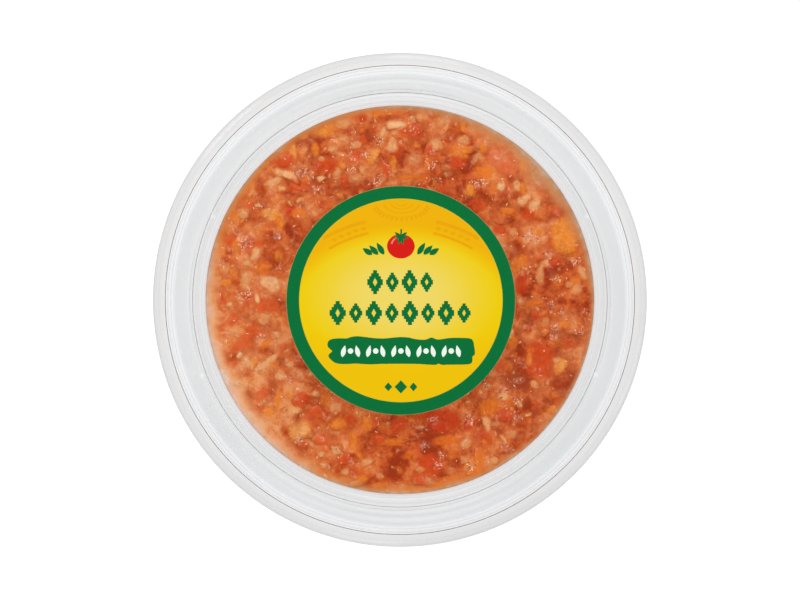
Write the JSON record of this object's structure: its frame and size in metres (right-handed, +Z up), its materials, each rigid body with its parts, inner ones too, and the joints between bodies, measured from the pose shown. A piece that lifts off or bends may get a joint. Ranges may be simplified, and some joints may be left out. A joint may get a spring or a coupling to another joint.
{
  "type": "tub of pico de gallo",
  "caption": "Shut clear round tub of chopped tomato and onion salsa, with a press-on lid and a round sticker on the lid's sunken panel.",
  "frame": {"origin": "middle of the tub's foot ring, on the surface that it stands on", "axes": "+Z up through the lid; +Y towards the top of the sticker, +X to its right"},
  "size_m": [0.118, 0.118, 0.0298],
  "materials": {
    "tub": "clear moulded plastic, glossy, faintly cool at its edges",
    "lid": "clear thin plastic, glossy, with a fine dark line at each upright wall",
    "label": "printed satin sticker, yellow field with a green ring",
    "salsa": "wet chopped tomato, onion and pepper in their juice"
  },
  "bodies": {
    "root": {"tub": "tub", "lid": "lid", "label": "label", "salsa": "salsa"}
  },
  "joints": []
}
